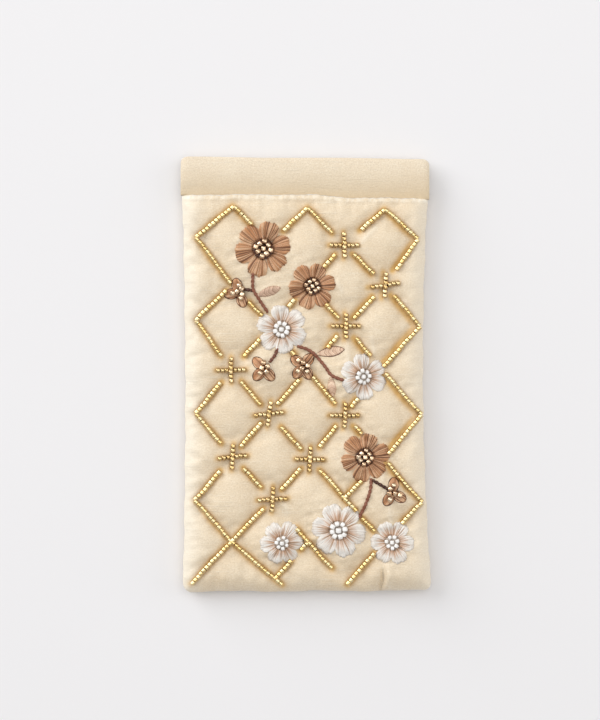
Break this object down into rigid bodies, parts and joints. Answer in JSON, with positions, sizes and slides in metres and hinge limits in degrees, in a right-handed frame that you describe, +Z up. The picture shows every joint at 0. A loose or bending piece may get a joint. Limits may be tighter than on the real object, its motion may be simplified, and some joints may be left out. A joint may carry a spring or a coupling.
{
  "type": "soft glasses case",
  "caption": "Soft padded silk glasses case with a squeeze-to-open spring mouth, quilted, beaded and embroidered front.",
  "frame": {"origin": "on the surface that the case lies on, under the middle of its width and length", "axes": "+X across the case, +Y along it towards the mouth, +Z up out of the embroidered front"},
  "size_m": [0.099, 0.1736, 0.0145],
  "materials": {
    "silk_panel": "cream slubbed silk with a soft sheen",
    "silk_band": "cream slubbed silk with a soft sheen",
    "wadding": "white wadding",
    "lining": "plain woven lining",
    "spring_steel": "bright spring strip",
    "strip_cap": "moulded cap",
    "gold_beads": "silver-lined gold glass beads",
    "bronze_beads": "metallic bronze-gold beads",
    "pearl_beads": "pearl white beads",
    "brown_thread": "copper brown satin stitch",
    "white_thread": "white to pink-beige satin stitch",
    "stem_thread": "dark brown twisted thread",
    "leaf_thread": "tan satin stitch"
  },
  "bodies": {
    "back_centre": {"back_lining_centre": "lining", "back_panel_centre": "silk_panel", "back_wadding_centre": "wadding"},
    "back_left": {"back_band_left": "silk_band", "back_lining_left": "lining", "back_panel_left": "silk_panel", "back_spring_cap_left": "strip_cap", "back_spring_left": "spring_steel", "back_wadding_left": "wadding"},
    "back_right": {"back_band_right": "silk_band", "back_lining_right": "lining", "back_panel_right": "silk_panel", "back_spring_cap_right": "strip_cap", "back_spring_right": "spring_steel", "back_wadding_right": "wadding"},
    "front_left": {"front_band_left": "silk_band", "front_lining_left": "lining", "front_panel_left": "silk_panel", "front_spring_cap_left": "strip_cap", "front_spring_left": "spring_steel", "front_wadding_left": "wadding", "bead_lines_left": "gold_beads", "bead_crosses_left": "gold_beads", "brown_flower_top": "brown_thread", "bud_left": "brown_thread", "gold_flower_beads_left": "bronze_beads", "stem_left": "stem_thread", "leaf_left": "leaf_thread"},
    "front_right": {"front_band_right": "silk_band", "front_lining_right": "lining", "front_panel_right": "silk_panel", "front_spring_cap_right": "strip_cap", "front_spring_right": "spring_steel", "front_wadding_right": "wadding", "bead_lines_right": "gold_beads", "bead_crosses_right": "gold_beads"},
    "front_centre": {"bead_crosses_centre": "gold_beads", "bead_lines_centre": "gold_beads", "brown_flower_lower": "brown_thread", "brown_flower_upper": "brown_thread", "bud_centre": "brown_thread", "bud_lower_left": "brown_thread", "bud_right": "brown_thread", "front_lining_centre": "lining", "front_panel_centre": "silk_panel", "front_wadding_centre": "wadding", "gold_flower_beads_centre": "bronze_beads", "leaf_lower": "leaf_thread", "leaf_middle": "leaf_thread", "stem_lower": "stem_thread", "stem_lower_left": "stem_thread", "stem_middle": "stem_thread", "white_flower_beads": "pearl_beads", "white_flower_lower_centre": "white_thread", "white_flower_lower_left": "white_thread", "white_flower_lower_right": "white_thread", "white_flower_middle": "white_thread", "white_flower_upper": "white_thread"}
  },
  "joints": [
    {"name": "mouth_open", "type": "hinge", "parent": "back_centre", "child": "front_centre", "pos_m": [0, -0.08675, 0.005], "axis": [1, 0, 0], "range_deg": [0, 14.52], "stiffness_Nm_per_rad": 0.2},
    {"name": "front_left_fold", "type": "hinge", "parent": "front_centre", "child": "front_left", "pos_m": [-0.0495, -0.08675, 0.005], "axis": [-0.299, -0.9543, 0], "range_deg": [0, 25.1]},
    {"name": "front_right_fold", "type": "hinge", "parent": "front_centre", "child": "front_right", "pos_m": [0.0495, -0.08675, 0.005], "axis": [-0.299, 0.9543, 0], "range_deg": [0, 25.1]},
    {"name": "back_left_fold", "type": "hinge", "parent": "back_centre", "child": "back_left", "pos_m": [-0.0495, -0.08675, 0.005], "axis": [0.299, 0.9543, 0], "range_deg": [0, 25.1]},
    {"name": "back_right_fold", "type": "hinge", "parent": "back_centre", "child": "back_right", "pos_m": [0.0495, -0.08675, 0.005], "axis": [0.299, -0.9543, 0], "range_deg": [0, 25.1]}
  ],
  "couplings": [
    {"joint": "front_left_fold", "follows": "mouth_open", "ratio": 1.7215},
    {"joint": "front_right_fold", "follows": "mouth_open", "ratio": 1.7215},
    {"joint": "back_left_fold", "follows": "mouth_open", "ratio": 1.7215},
    {"joint": "back_right_fold", "follows": "mouth_open", "ratio": 1.7215}
  ]
}
